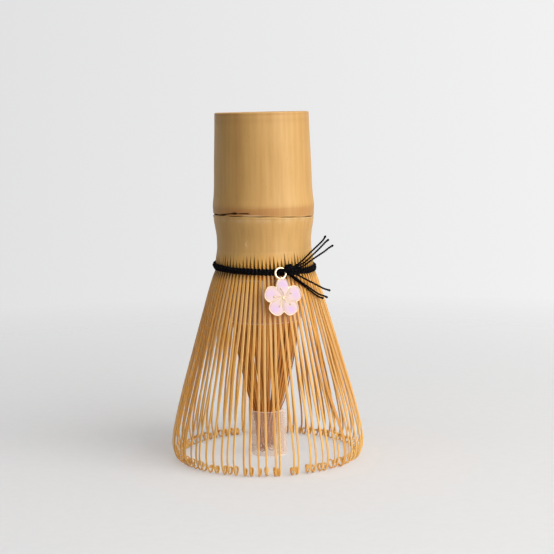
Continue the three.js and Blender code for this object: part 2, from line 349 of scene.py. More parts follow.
def yarn_section(s, radius, lay, corners):
    """Cross-sections of two plies twisted together, one turn in every lay of length. Each ply is
    round about a point halfway out, and pressed a little flat."""
    phi = full_turn(corners)
    turn = TAU * np.asarray(s)[:, None] / lay
    off = (phi[None] - turn + math.pi / 2) % math.pi - math.pi / 2
    centre = radius * 0.5
    reach = centre * np.cos(off) + np.sqrt((radius - centre) ** 2 * 1.1 - (centre * np.sin(off)) ** 2 * 0.9)
    return np.stack([reach * np.cos(phi), reach * np.sin(phi)], -1)


def ridge(section, radius):
    """1 on the crest of each ply and 0 in the groove between two."""
    return np.clip((np.linalg.norm(section, axis=-1) / radius - 0.72) / 0.26, 0, 1)


def add_yarn(shape, path, radius, lay, taper=None):
    """A twisted thread along a path. taper scales it by the share of the length behind a point."""
    spacing = 0.14
    total = lengths(path)[-1]
    path = respaced(path, max(int(total / spacing), 6))
    s = lengths(path)
    section = yarn_section(s, radius, lay, 12)
    crest = ridge(section, radius)
    if taper is not None:
        section *= taper(s / total)[:, None, None]
    shape.grid(sweep(path, untwisted_side(path), section), ridge=crest)


# ---- Material building ----


class Nodes:
    """Builds the node tree of a material or of the world."""

    def __init__(self, owner):
        owner.use_nodes = True
        self.tree = owner.node_tree

    def add(self, kind, inputs=None, **settings):
        node = self.tree.nodes.new("ShaderNode" + kind)
        for key, value in settings.items():
            setattr(node, key, value)
        for key, value in (inputs or {}).items():
            self.feed(node.inputs[key], value)
        return node

    def feed(self, socket, value):
        if isinstance(value, bpy.types.NodeSocket):
            self.tree.links.new(value, socket)
        else:
            socket.default_value = value

    def mark(self, name, output="Fac"):
        return self.add("Attribute", attribute_name=name).outputs[output]

    def scaled(self, vector, x, y, z):
        mapping = self.add("Mapping", {"Vector": vector, "Scale": (x, y, z)})
        return mapping.outputs["Vector"]

    def position(self):
        return self.add("TexCoord").outputs["Object"]

    def place(self, x, y, z):
        """Each point's place in metres, scaled."""
        return self.scaled(self.position(), x, y, z)

    def noise(self, vector, detail, roughness=0.5):
        inputs = {"Vector": vector, "Scale": 1.0, "Detail": detail, "Roughness": roughness}
        return self.add("TexNoise", inputs).outputs["Fac"]

    def ramp(self, value, *stops):
        """stops are (position, colour or number)."""
        node = self.add("ValToRGB", {"Fac": value})
        elements = node.color_ramp.elements
        while len(elements) < len(stops):
            elements.new(0.5)
        for element, (position, colour) in zip(elements, stops):
            element.position = position
            element.color = (colour,) * 3 + (1,) if isinstance(colour, (int, float)) else (*colour, 1)
        return node.outputs["Color"]

    def maths(self, operation, a, b, clamp=False):
        return self.add("Math", {0: a, 1: b}, operation=operation, use_clamp=clamp).outputs[0]

    def sum(self, a, b, clamp=False):
        return self.maths("ADD", a, b, clamp)

    def times(self, a, b):
        return self.maths("MULTIPLY", a, b)

    def mix(self, factor, a, b):
        node = self.add("Mix", data_type="RGBA")
        self.feed(node.inputs[0], factor)
        for socket, value in ((node.inputs[6], a), (node.inputs[7], b)):
            self.feed(socket, value if isinstance(value, bpy.types.NodeSocket) else (*value, 1))
        return node.outputs[2]

    def blended(self, share, shader, other):
        """share 0 is the first shader and share 1 the other."""
        return self.add("MixShader", {0: share, 1: shader.outputs[0], 2: other.outputs[0]})

    def show(self, shader, output="Material Output"):
        self.feed(self.tree.nodes[output].inputs["Surface"], shader.outputs[0])


class Material(Nodes):
    """A material's tree, with its Principled shader already linked to the output."""

    def __init__(self, name):
        self.material = bpy.data.materials.new(name)
        super().__init__(self.material)
        self.shader = self.tree.nodes["Principled BSDF"]

    def principled(self, **inputs):
        for key, value in inputs.items():
            self.feed(self.shader.inputs[key.replace("_", " ")], value)

    def bump(self, height, distance, strength):
        inputs = {"Height": height, "Distance": distance, "Strength": strength}
        self.principled(Normal=self.add("Bump", inputs).outputs["Normal"])


def srgb(red, green, blue):
    """A colour given as it looks on screen, from 0 to 255, as the shader wants it."""
    values = [c / 255 for c in (red, green, blue)]
    return tuple(v / 12.92 if v <= 0.04045 else ((v + 0.055) / 1.055) ** 2.4 for v in values)


# ---- Materials ----


def bamboo(name, palette, flesh, rough):
    """Bamboo whose fibres run along Z of the mark 'grain', which is each point's place on the uncut
    culm in millimetres. Below the cord the palette gives way to the flesh's colours. The mark 'shade'
    makes a whole tine lighter or darker, and lightens the hooks with painted light; 'dark' burns in
    cracks and paints shade into the slits and between the inner tines, 'pale' bares fresh fibre and
    paints a highlight on the outer tines' faces."""
    n = Material(name)
    grain = n.mark("grain", "Vector")
    fibres = n.noise(n.scaled(grain, 6.5, 6.5, 0.08), 3.0, 0.6)
    streaks = n.noise(n.scaled(grain, 0.9, 0.9, 0.025), 2.0)
    patches = n.noise(n.scaled(grain, 0.1, 0.1, 0.04), 2.0)
    tone = n.sum(n.times(fibres, 0.3), n.times(streaks, 0.7))
    tone = n.sum(n.times(tone, 0.5), n.times(patches, 0.5))
    tone = n.sum(tone, n.mark("shade"))
    height = n.add("SeparateXYZ", {"Vector": grain}).outputs["Z"]
    carved = n.ramp(n.maths("DIVIDE", height, HEIGHT), (0.56, 1.0), (0.605, 0.0))
    stops = (0.24, 0.5, 0.76)
    whole = n.ramp(tone, *zip(stops, palette))
    cut = n.ramp(tone, *zip(stops, flesh))
    colour = n.mix(carved, whole, cut)
    blush = n.noise(n.scaled(grain, 0.22, 0.22, 0.02), 1.0)
    colour = n.mix(n.ramp(blush, (0.45, 0.0), (0.75, 0.2)), colour, srgb(206, 146, 92))
    flecks = n.noise(n.scaled(grain, 2.6, 2.6, 0.5), 1.0)
    colour = n.mix(n.ramp(flecks, (0.72, 0.0), (0.8, 0.3)), colour, srgb(160, 108, 62))
    colour = n.mix(n.mark("brown"), colour, srgb(172, 98, 50))
    # On the tines the pale mark is in part a painted highlight, and the dark mark painted shade.
    colour = n.mix(n.mark("pale"), colour, srgb(244, 222, 184))
    colour = n.mix(n.mark("dark"), colour, srgb(34, 18, 9))
    roughness = n.sum(n.times(fibres, 0.22), rough - 0.11)
    shine = n.times(n.maths("SUBTRACT", 1.0, n.mark("dark")), 0.3)
    n.principled(Base_Color=colour, Roughness=roughness, IOR=1.45, Specular_IOR_Level=shine)
    n.bump(n.sum(fibres, n.times(streaks, 0.8)), 0.04 * MM, 0.45)
    return n.material


def cut_bamboo():
    """The sawn end of the culm: dark bundles of fibre, closest together under the skin."""
    n = Material("bamboo_end_grain")
    grain = n.mark("grain", "Vector")
    spots = n.add("TexVoronoi", {"Vector": n.scaled(grain, 1.9, 1.9, 0.0), "Scale": 1.0, "Randomness": 0.85})
    spot = n.ramp(spots.outputs["Distance"], (0.12, 0.8), (0.36, 0.0))
    fine = n.noise(n.scaled(grain, 9, 9, 0.6), 3.0)
    base = n.ramp(fine, (0.3, srgb(196, 152, 96)), (0.7, srgb(232, 196, 140)))
    colour = n.mix(n.times(spot, 0.75), base, srgb(128, 84, 44))
    n.principled(Base_Color=colour, Roughness=0.75)
    n.bump(n.maths("SUBTRACT", fine, spot), 0.08 * MM, 0.6)
    return n.material


def black_cotton():
    """Black thread, with a grey painted highlight on the crests of its plies, speckled by the fibre."""
    n = Material("black_cotton")
    fibre = n.noise(n.place(7000, 7000, 7000), 3.0)
    # Painted highlight on the ply crests.
    crest_highlight = n.times(n.ramp(fibre, (0.4, 0.0), (0.7, 1.0)), n.mark("ridge"))
    colour = n.ramp(crest_highlight, (0.0, srgb(5, 4, 6)), (0.5, srgb(20, 19, 21)), (1.0, srgb(84, 80, 84)))
    n.principled(Base_Color=colour, Roughness=0.85, Specular_IOR_Level=0.05)
    n.bump(fibre, 0.05 * MM, 0.8)
    return n.material


def pale_gold():
    """Pale plated metal. A mark paints a darker reflection onto a whole line or bead."""
    n = Material("pale_gold")
    cloud = n.noise(n.place(700, 700, 700), 3.0)
    scratch = n.noise(n.place(9000, 1500, 9000), 2.0)
    colour = n.ramp(cloud, (0.3, srgb(230, 206, 170)), (0.7, srgb(246, 228, 200)))
    # Painted darker reflection on the stamens, beads and petal lines.
    colour = n.mix(n.mark("tarnish"), colour, srgb(176, 148, 112))
    rough = n.sum(n.times(scratch, 0.22), 0.2)
    n.principled(Base_Color=colour, Metallic=1.0, Roughness=rough)
    n.bump(scratch, 0.01 * MM, 0.35)
    return n.material


def pink_enamel():
    """Glossy enamel: lilac-pink towards the petal's end, cream-pink where it thins at the rim."""
    n = Material("pink_enamel")
    swirl = n.noise(n.place(420, 420, 420), 3.0)
    depth = n.sum(n.mark("inner"), n.times(n.maths("SUBTRACT", swirl, 0.5), 1.1))
    cream, pink, lilac = srgb(231, 204, 198), srgb(228, 198, 204), srgb(222, 188, 224)
    colour = n.ramp(depth, (0.0, cream), (0.4, pink), (1.0, lilac))
    n.principled(Base_Color=colour, Roughness=0.25, Specular_IOR_Level=0.3)
    n.principled(Coat_Weight=0.25, Coat_Roughness=0.08)
    n.bump(swirl, 0.03 * MM, 0.3)
    return n.material


def clear_film(name, haze, glow):
    """Thin clear plastic. Light goes straight through it, apart from a shine and a little haze. The
    haze glows with the light it scatters, most of all at a cut edge, which the mark 'edge' shows."""
    n = Material(name)
    edge = n.mark("edge")
    ripples = n.noise(n.place(260, 260, 90), 2.0)
    smudges = n.noise(n.place(500, 500, 160), 3.0)
    colour = n.mix(edge, (0.9, 0.78, 0.7), (1.0, 0.95, 0.9))
    n.principled(Base_Color=colour, Roughness=0.22)
    n.principled(Emission_Color=(1.0, 0.87, 0.73, 1), Emission_Strength=n.sum(n.times(edge, 0.3), glow))
    n.bump(ripples, 0.2 * MM, 0.5)
    see_through = n.add("BsdfTransparent", {"Color": (0.99, 0.952, 0.92, 1)})
    slant = n.add("LayerWeight", {"Blend": 0.4}).outputs["Facing"]
    share = n.sum(n.times(slant, 0.3), n.times(smudges, haze))
    share = n.sum(share, haze * 0.5)
    share = n.sum(share, n.times(edge, 0.55), clamp=True)
    n.show(n.blended(share, see_through, n.shader))
    return n.material


SKIN = (srgb(198, 150, 86), srgb(219, 172, 105), srgb(233, 191, 126))
FLESH = (srgb(216, 146, 52), srgb(238, 173, 70), srgb(248, 196, 98))
INNER_FLESH = (srgb(202, 128, 50), srgb(230, 157, 72), srgb(247, 183, 96))
skin = bamboo("bamboo_skin", SKIN, FLESH, 0.45)
inner_bamboo = bamboo("bamboo_inner_tines", INNER_FLESH, INNER_FLESH, 0.55)
end_grain = cut_bamboo()
cotton = black_cotton()
gold = pale_gold()
enamel = pink_enamel()


# ---- Handle ----


def hoop(radius, z):
    """A ring of points round the axis. radius is one number, or one for every point."""
    outward, _ = around(full_turn(SKIN_COLUMNS))
    return outward * np.reshape(radius, (-1, 1)) + UP * z


def crack_height(azimuth):
    """Height of the crack round the node, highest at the front left."""
    return 77.54 + 0.56 * np.cos(azimuth) - 0.52 * np.sin(azimuth)


def sheath_crack(azimuth, degrees, z, low_z):
    """The dark crack at the leaf sheath's scar: a thin line all round, and a wider one that climbs
    away from it at the front left."""
    high_z = low_z + 0.1 + 0.8 * ease(degrees, -58, -33)
    high = ease(degrees, -150, -120) * (1 - ease(degrees, -18, -14)) * (1 - 0.7 * bell(degrees, -29, 2))
    high_width = 0.19 + 0.12 * bell(degrees, -34, 3) + 0.06 * bell(degrees, -52, 5)
    high_width = high_width + 0.03 * np.sin(19 * azimuth)
    low = 0.75 + 0.25 * ease(degrees, 40, 70) - 0.3 * (1 - ease(degrees, -50, -38))
    low = low * (0.75 + 0.25 * np.sin(11 * azimuth + 2))
    crack = bell(z, high_z, high_width) * high + bell(z, low_z, 0.13) * low
    return np.clip(1.3 * crack, 0, 1)


def bared_fibre(azimuth, degrees, z, low_z):
    """Pale fibre between the crack's two lines, in one short scar lower down, and in a mottled ring."""
    between = bell(z, low_z + 0.32, 0.14) * ease(degrees, -26, -18) * (1 - ease(degrees, -8, 4))
    scar = bell(z, 69.9 + 0.02 * degrees, 0.75) * bell(degrees + 0.8 * np.sin(3 * z), -21, 0.8)
    mottle = bell(z, 77.0, 0.7) * (0.5 + 0.5 * np.sin(23 * azimuth) * np.sin(9 * azimuth))
    return np.clip(0.6 * between + 0.6 * scar + 0.25 * mottle, 0, 1)


def brown_band(azimuth, degrees, z, low_z):
    """Brown above the crack: a band, a fine line over it, and a stain that runs up the front left."""
    band = ease(z, low_z + 0.1, low_z + 0.5) * (1 - ease(z, 79.3, 82.1))
    band = band * (0.34 + 0.2 * bell(degrees, -18, 28) + 0.05 * np.sin(9 * azimuth))
    line = 0.1 * bell(z, 80.4, 0.35) * (0.7 + 0.3 * np.sin(4 * azimuth + 0.5))
    stain = 0.2 * bell(degrees, -31, 2.5) * ease(z, 81, 84) * (0.8 + 0.2 * np.sin(z / 3))
    return np.clip(band + line + stain, 0, 1)


def brown_end(azimuth, z):
    """Brown at the handle's end: along the sawn edge, and in a faint line below it."""
    edge = 0.35 * ease(z, HEIGHT - 1.2, HEIGHT - 0.5) * (0.7 + 0.3 * np.sin(5 * azimuth))
    return edge + 0.1 * bell(z, HEIGHT - 2.6 + 0.1 * np.sin(3 * azimuth), 0.8)


def skin_heights():
    """Heights of the skin's rows, closest together at the node, the scar and the end."""
    stretches = [
        (SPLIT_Z, 69, 0.5), (69, 71, 0.15), (71, 76.5, 0.5), (76.5, 81, 0.07), (81, HEIGHT - 1.5, 0.7),
        (HEIGHT - 1.5, HEIGHT - 0.4, 0.2),
    ]
    return np.concatenate([np.arange(*stretch) for stretch in stretches])


def handle_skin():
    """The skin's rows of points from the split up, and the marks on them."""
    azimuth, z = np.meshgrid(full_turn(SKIN_COLUMNS), skin_heights())
    wave = 0.05 * np.sin(5 * azimuth + 1) + 0.03 * np.sin(13 * azimuth) + 0.02 * np.sin(31 * azimuth)
    where = (azimuth, np.degrees(signed(azimuth)), z, crack_height(azimuth) + wave)
    dark, pale = sheath_crack(*where), bared_fibre(*where)
    brown = np.clip(brown_band(*where) + brown_end(azimuth, z), 0, 1)
    lumps = 0.06 * np.sin(2 * azimuth + 0.6) + 0.035 * np.sin(3 * azimuth + 2.2)
    lumps = lumps + 0.012 * np.sin(17 * azimuth + z * 0.02)
    lip = 0.1 * bell(z, crack_height(azimuth) - 0.45, 0.3) * (1 + 0.4 * np.sin(7 * azimuth))
    radius = culm_radius(z) + lumps * ease(z, SPLIT_Z, SPLIT_Z + 6) + lip - 0.28 * dark + 0.05 * pale
    outward, _ = around(azimuth)
    rows = outward * radius[..., None] + z[..., None] * UP
    return rows, {"dark": dark * 0.97, "pale": pale, "brown": brown}


def handle():
    """The culm as one surface: out and down the skirt's inside, up the skin, over the sawn end, down
    the bore and in across the diaphragm's top."""
    wall, skin_marks = handle_skin()
    edge_r = np.linalg.norm(wall[-1][:, :2], axis=1)
    ceiling, bottom = NODE_Z - DIAPHRAGM / 2, NODE_Z + DIAPHRAGM / 2
    skirt = [hoop(r, ceiling - 0.1 * math.cos(r)) for r in np.arange(0.5, SKIRT_BORE_R - 0.8, 1.2)]
    skirt += [hoop(SKIRT_BORE_R, ceiling - 0.8), hoop(SKIRT_BORE_R, SPLIT_Z)]
    outer_edge = [(0.05, 0.25), (0.22, 0.06), (0.42, 0), (1.2, 0), (2.2, 0)]
    inner_edge = [(0.3, 0), (0.08, 0.08), (0, 0.3)]
    end = [hoop(edge_r - inset, HEIGHT - drop) for inset, drop in outer_edge]
    end += [hoop(BORE_R + inset, HEIGHT - drop) for inset, drop in inner_edge]
    bore = [hoop(BORE_R + 0.05 * math.sin(z), z) for z in np.arange(HEIGHT - 3, bottom + 1.4, -3)]
    bore += [hoop(BORE_R - 0.1, bottom + 0.9), hoop(BORE_R - 0.5, bottom + 0.25)]
    bore += [hoop(r, bottom + 0.12 * math.cos(r)) for r in np.arange(BORE_R - 1.5, 0.2, -1.1)]
    unmarked_rows = (len(skirt), len(end) + len(bore))
    marks = {mark: np.pad(values, (unmarked_rows, (0, 0))) for mark, values in skin_marks.items()}
    points = np.array([*skirt, *wall, *end, *bore])
    shape = Shape()
    shape.grid(points, grain=points, shade=0, **marks)
    obj = piece("culm_handle", shape, skin, "whisk", "handle", 60)
    obj.data.materials.append(end_grain)
    for face in obj.data.polygons:
        x, y, z = face.center / MM
        if math.hypot(x, y) < SKIRT_BORE_R + 0.2 or z > HEIGHT - 0.02:
            face.material_index = 1


# ---- Tines ----

# A tine's section has these corners: the two cut sides, and the middle of the outer face.
SECTION_CORNERS = 11
CUT_SIDES = [0, 1, 5, 6, 7, 10]
FACE = [2, 3, 4]


def strip_section(left, right, thickness, bevel, curve_r):
    """Cross-sections of a tine: a curved outer face, two bevelled edges and a flat inner face."""
    zero = np.zeros_like(left)

    def on_face(u):
        return -u * u / (2 * curve_r)

    corners = [
        (-left, on_face(left) - bevel), (-left + bevel, on_face(left - bevel)),
        (-left / 2, on_face(left / 2)), (zero, zero), (right / 2, on_face(right / 2)),
        (right - bevel, on_face(right - bevel)), (right, on_face(right) - bevel),
        (right, on_face(right) - thickness * 0.92), (right * 0.8, -thickness),
        (-left * 0.8, -thickness), (-left, on_face(left) - thickness * 0.92),
    ]
    return np.stack([np.stack(corner, -1) for corner in corners], 1)


def painted(share, corners):
    """A mark that has a share along the tine on some of its section's corners, and 0 on the rest."""
    mark = np.zeros((len(share), SECTION_CORNERS))
    mark[:, corners] = share[:, None]
    return mark


def uncut_place(section, azimuth, radius, z):
    """Where a tine's points were on the culm before it was split and bent."""
    outward, side = around(azimuth)
    return radius * outward + section[..., :1] * side + section[..., 1:] * outward + UP * z[:, None, None]


def tine_width(z):
    """Full width of an outer tine below the cord."""
    return np.interp(z, *OUTER_WIDTHS)


def outer_centre_line(rng):
    """A tine's skin line as (height, radius): flare, brim, foot, and the hook that curls back in."""
    brim_shift = rng.normal(-0.08, 0.18)
    hook_r = rng.uniform(1.4, 1.75)
    hook_turn = math.radians(rng.uniform(245, 325))
    foot_z = 0.02 + abs(rng.normal(0, 0.1))
    top = [(SPLIT_Z, culm_radius(SPLIT_Z))] + [(z, r) for z, r in CULM if z < SPLIT_Z - 0.5]
    flare = through(top + FLARE + [(BRIM_Z, BRIM_R - 0.05)], 12)
    flare[:, 1] += brim_shift * (1 - ease(flare[:, 0], BRIM_Z, CORD_LOW))
    brim_r = flare[-1, 1]
    t = np.linspace(0, math.pi / 2, 14)[1:]
    brim = np.column_stack([BRIM_Z - (BRIM_Z - foot_z) * np.sin(t), FOOT_R + (brim_r - FOOT_R) * np.cos(t)])
    turn = np.linspace(0, hook_turn, 24)[1:]
    radius = hook_r * (1 - 0.46 * turn / hook_turn)
    hook = np.column_stack([foot_z + hook_r - radius * np.cos(turn), FOOT_R - radius * np.sin(turn)])
    return np.vstack([flare, brim, hook])


def hook_turn_in(azimuth):
    """How far a hook is turned out of the plane through the axis. Those nearest the front and back
    show a little of their round; those halfway to the sides lean back towards the middle."""
    from_axis = math.degrees(math.asin(abs(math.sin(azimuth))))
    turn = 2 + 16 * math.exp(-from_axis / 17) - 14 * bell(from_axis, 50, 22)
    return math.radians(turn) * math.copysign(1, math.sin(2 * azimuth))


def pushed_aside(azimuth):
    """How far a tine is pushed away from the wide gaps near it."""
    offsets = azimuth - GAPS
    return sum(math.copysign(GAP_PUSH * math.exp(-abs(offset) / GAP_REACH), offset) for offset in offsets)


class OuterTine:
    """One outer tine, from its root in the handle down to the tip of its hook. The shares below,
    past_brim and past_foot run from 0 to 1 along it."""

    def __init__(self, index, rng):
        self.root = index * PITCH
        self.azimuth = signed(self.root)
        self.odd = abs(self.azimuth - ODD_TINE) < PITCH / 2
        sway = math.radians(rng.normal(0, 0.55)) + 0.05 * math.sin(self.azimuth)
        self.lean = sway + pushed_aside(self.azimuth)
        line = respaced(outer_centre_line(rng), 88)
        self.z, self.r = line.T
        self.s = lengths(line)
        foot_s = self.s[np.argmin(self.z)]
        self.below = 1 - ease(self.z, BRIM_Z, CORD_LOW)
        self.past_brim = ease(self.s, foot_s - 4, foot_s + 1)
        self.past_foot = ease(self.s, foot_s, self.s[-1])

    def path(self, rng):
        """The tine's skin line, and its sideways direction along it."""
        hook_plane = (hook_turn_in(self.azimuth) + math.radians(rng.normal(0, 6))) * self.past_brim
        bow = rng.normal(0, 0.12) * np.sin(math.pi * self.below)
        bow = bow + rng.normal(0, 0.06) * np.sin(3 * math.pi * self.below)
        azimuth = self.root + self.lean * self.below + bow / 20
        r = self.r
        if self.odd:
            azimuth = azimuth - 0.2 * np.sin(math.pi * self.below) * self.below
            r = r + 0.9 * np.sin(math.pi * np.clip(self.below * 1.15 - 0.3, 0, 1))
        outward, _ = around(azimuth)
        hook_out, hook_side = around(azimuth + hook_plane)
        path = outward * FOOT_R + hook_out * (r - FOOT_R)[:, None] + UP * self.z[:, None]
        twist = (rng.normal(0, 0.18) * self.below)[:, None]
        return path, hook_side * np.cos(twist) + hook_out * np.sin(twist)

    def slit(self, top):
        """How far open the slit beside the tine is: 0 at its top end, and 1 from the cord down."""
        return np.clip((top - self.z) / (top - CORD_Z), 0, 1) ** 0.7

    def half_width(self, slit):
        """From the tine's middle to one side. Above the cord that is half the pitch, less the slit."""
        full_gap = PITCH * culm_radius(CORD_Z) / 2 - tine_width(CORD_Z) / 2 + 0.05
        return np.where(self.z > CORD_Z, PITCH * self.r / 2 - full_gap * slit, tine_width(self.z) / 2)

    def section(self, left_slit, right_slit, rng):
        uneven = rng.normal(0, 0.05) + 0.04 * np.sin(self.s * 0.35 + rng.uniform(0, 6))
        scale = (1 + uneven * self.below) * (1 + 0.4 * self.odd * self.below) * (1 + 0.25 * self.past_foot)
        left, right = self.half_width(left_slit) * scale, self.half_width(right_slit) * scale
        thickness = np.interp(self.z, *OUTER_THICKNESSES) * (1 - 0.25 * self.past_foot)
        split = np.clip(np.minimum(left_slit, right_slit) * 2, 0, 1)
        bevel = 0.006 + 0.075 * split * np.minimum(thickness / 0.4, 1)
        return strip_section(left, right, thickness, bevel, 15.0)

    def marks(self, slit, rng):
        """Lighter at the foot, and at the hook with painted light against its own shadow; painted shade in
        the slits at the cord, fresh fibre bared on the cut sides, a painted highlight on the face, and a
        face that is browned down to the brim."""
        z = self.z
        tone = rng.normal(0, 0.035) * (1 - ease(z, CORD_Z, SPLIT_Z)) - 0.2 * self.odd * self.below
        # Lighter near the brim; past the foot the hook gets painted light against its own shadow.
        tone = tone + 0.03 + 0.12 * (1 - ease(z, 5, 16)) + 0.45 * self.past_foot
        # Painted shade in the slits beside the tine, near the cord.
        painted_shade = painted(0.88 * slit * ease(z, CORD_Z - 4, CORD_Z - 1), CUT_SIDES)
        bare_sides = painted(rng.uniform(0.05, 0.35) * (1 - ease(z, CORD_Z - 12, CORD_Z)), CUT_SIDES)
        upper = ease(z, 34, 46)
        # A painted highlight on the face, and past the foot more of it against the hook's own shadow.
        face_highlight = rng.uniform(0.0, 0.35) * upper + 0.12 * (1 - upper) + 0.15 * self.past_foot
        painted_face_highlight = painted(face_highlight * (1 - ease(z, CORD_Z - 1, CORD_Z + 2)) * (1 - self.odd), FACE)
        browned = rng.uniform(0.05, 0.45) * (1 - ease(z, CORD_Z, CORD_Z + 2)) * (1 - self.past_brim)
        brown = painted(browned, FACE)
        shade = np.repeat(tone[:, None], SECTION_CORNERS, 1)
        return {"shade": shade, "dark": painted_shade, "pale": bare_sides + painted_face_highlight, "brown": brown}


def outer_tines():
    rng = np.random.default_rng(11)
    shape = Shape()
    slit_tops = rng.uniform(64.3, 66.8, OUTER_COUNT)
    for i in range(OUTER_COUNT):
        tine = OuterTine(i, rng)
        path, side = tine.path(rng)
        left_slit, right_slit = tine.slit(slit_tops[i - 1]), tine.slit(slit_tops[i])
        section = tine.section(left_slit, right_slit, rng)
        grain = uncut_place(section, tine.root, 14.9, SPLIT_Z - tine.s)
        marks = tine.marks(np.maximum(left_slit, right_slit), rng)
        shape.grid(sweep(path, side, section), grain=grain, **marks)
    piece("outer_tine_ring", shape, skin, "whisk", "outer_tines", 40)


def inner_centre_line(layer, rng):
    """An inner tine's skin line as (height, radius): down into the sleeve, and a hook inwards. layer
    is how far it lies inside its neighbours there."""
    sleeve_r, sleeve_top = SLEEVE_HIGH[0], SLEEVE_HIGH[2]
    bundle_r = sleeve_r - 0.95
    end_r = bundle_r - 1.5 - layer
    end_z = rng.uniform(0.5, 5.2) + 1.2
    body = through([
        (INNER_TOP, 12.9), (60, 12.35), (52, 11.6), (44.2, 10.65), (36, 9.6 - layer * 0.3),
        (29.6, 8.3 - layer * 0.5), (23.6, 6.9 - layer * 0.7), (18.8, 5.75 - layer * 0.8),
        (sleeve_top, bundle_r - layer), (9.5, end_r + 0.15), (end_z, end_r),
    ], 10)
    hook_r = rng.uniform(0.6, 1.15)
    turn = np.linspace(0, math.radians(rng.uniform(170, 250)), 14)[1:]
    hook = np.column_stack([end_z - hook_r * np.sin(turn), end_r - hook_r * (1 - np.cos(turn))])
    return np.vstack([body, hook])


def add_inner_tine(shape, root, layer, rng):
    line = respaced(inner_centre_line(layer, rng), 72)
    z, r = line.T
    s = lengths(line)
    down = 1 - ease(z, 10, 60)
    lean = math.radians(rng.normal(0, 3.2)) + 0.03 * np.sin(s * 0.12 + rng.uniform(0, 6))
    in_sleeve = math.radians(rng.normal(0, 22)) * (1 - ease(z, 3, 12))
    outward, side = around(root + lean * down + in_sleeve)
    r = r + rng.normal(0, 0.2) * down * ease(z, 12, 20)
    gathered = (1 - ease(z, 8, 18))[:, None] * np.array([-0.8, 0, 0])
    path = outward * r[:, None] + UP * z[:, None] + gathered
    twist = (rng.normal(0, 0.45) * down)[:, None]
    side = side * np.cos(twist) + outward * np.sin(twist)
    half_width = np.interp(z, *INNER_WIDTHS) / 2
    thickness = np.interp(z, *INNER_THICKNESSES)
    section = strip_section(half_width, half_width, thickness, np.full(len(z), 0.06), 13.0)
    grain = uncut_place(section, root, INNER_ROOT_R, INNER_TOP - s)
    # Painted shade on the cut sides, for the gaps between the inner tines.
    painted_shade = painted(np.full(len(z), 0.3), CUT_SIDES)
    shape.grid(sweep(path, side, section), grain=grain, shade=rng.normal(0, 0.11), dark=painted_shade)


def inner_tines():
    """The inner tines, every other one a layer further in, and the uncut hoop they hang from."""
    rng = np.random.default_rng(5)
    shape = Shape()
    for i in range(INNER_COUNT):
        layer = 0.0 if i % 2 else 0.55
        add_inner_tine(shape, (i + 0.5) * TAU / INNER_COUNT, layer, rng)
    outward, _ = around(full_turn(144))
    inside_r, outside_r = 12.1, 13.6
    profile = [
        (inside_r, HOOP_LOW), (outside_r - 0.1, HOOP_LOW), (outside_r, HOOP_LOW + 0.1),
        (outside_r, SPLIT_Z), (inside_r, SPLIT_Z),
    ]
    points = np.array([outward * r + UP * z for r, z in profile])
    shape.grid(points, loop=True, grain=points, shade=0, dark=0)
    piece("inner_tine_ring", shape, inner_bamboo, "whisk", "inner_tines", 40)


# ---- Cord ----


def cord_piece(node, shape):
    piece(node + "_yarn", shape, cotton, "whisk", node, 80)


def cord_band():
    """Three turns of yarn side by side, the middle one standing proud. Each rises a little over every
    tine and dips between, and the whole band tilts down to the right."""
    shape = Shape()
    azimuth = full_turn(1280)
    outward, _ = around(azimuth)
    tilt = -0.1 - 0.6 * np.sin(azimuth) - 0.25 * np.cos(azimuth)
    for k in (-1, 0, 1):
        wander = 0.04 * np.sin(azimuth * 7 + k) + 0.03 * np.sin(azimuth * 19 + 2 * k)
        squeeze = 0.1 * k * np.cos(OUTER_COUNT * azimuth + k)
        z = CORD_Z + 0.57 * k + wander + squeeze + tilt
        over_tines = 0.05 * np.cos(OUTER_COUNT * azimuth) + 0.04 * np.sin(azimuth * 11 + 3 * k)
        radius = culm_radius(CORD_Z) + (0.56 if k == 0 else 0.4) + over_tines
        s = azimuth * radius.mean()
        section = yarn_section(s, BAND_YARN_R, s[-1] / 44, 15)
        path = outward * radius[:, None] + UP * z[:, None]
        shape.grid(sweep_loop(path, outward, section), loop=True, ridge=ridge(section, BAND_YARN_R))
    cord_piece("cord_band", shape)


def cord_weave():
    """The hidden course: two strands that wind in and out between the two rings of tines."""
    shape = Shape()
    low, high = mm_box("cord_weave")
    azimuth = full_turn(900)
    outward, _ = around(azimuth)
    for k in (0, 1):
        radius = (high[0] - 0.5) + 0.16 * np.cos(OUTER_COUNT / 2 * azimuth + k * math.pi)
        z = (low[2] + high[2]) / 2 + (k - 0.5) * 0.55
        s = azimuth * high[0]
        section = yarn_section(s, WEAVE_YARN_R, s[-1] / 60, 10)
        path = outward * radius[:, None] + UP * z
        shape.grid(sweep_loop(path, outward, section), loop=True, ridge=ridge(section, WEAVE_YARN_R))
    cord_piece("cord_weave", shape)


def in_knot(points):
    """From the knot's own frame (sideways, up, outwards) onto the whisk."""
    outward, sideways = around(KNOT_AZIMUTH)
    centre = outward * KNOT_DISTANCE + sideways * KNOT_SIDEWAYS + UP * (CORD_Z + KNOT_RISE)
    p = np.asarray(points, float)
    return centre + p[:, :1] * sideways + p[:, 1:2] * UP + p[:, 2:3] * outward


def trefoil(turn, size, shift):
    """A loop of yarn knotted once, turned and stretched."""
    t = np.linspace(0, TAU, 160)
    flat = np.column_stack([np.sin(t) + 2 * np.sin(2 * t), np.cos(t) - 2 * np.cos(2 * t)])
    spun = np.array([[math.cos(turn), -math.sin(turn)], [math.sin(turn), math.cos(turn)]])
    return np.column_stack([flat @ spun.T / 3 * size[:2], -np.sin(3 * t) * size[2]]) + shift


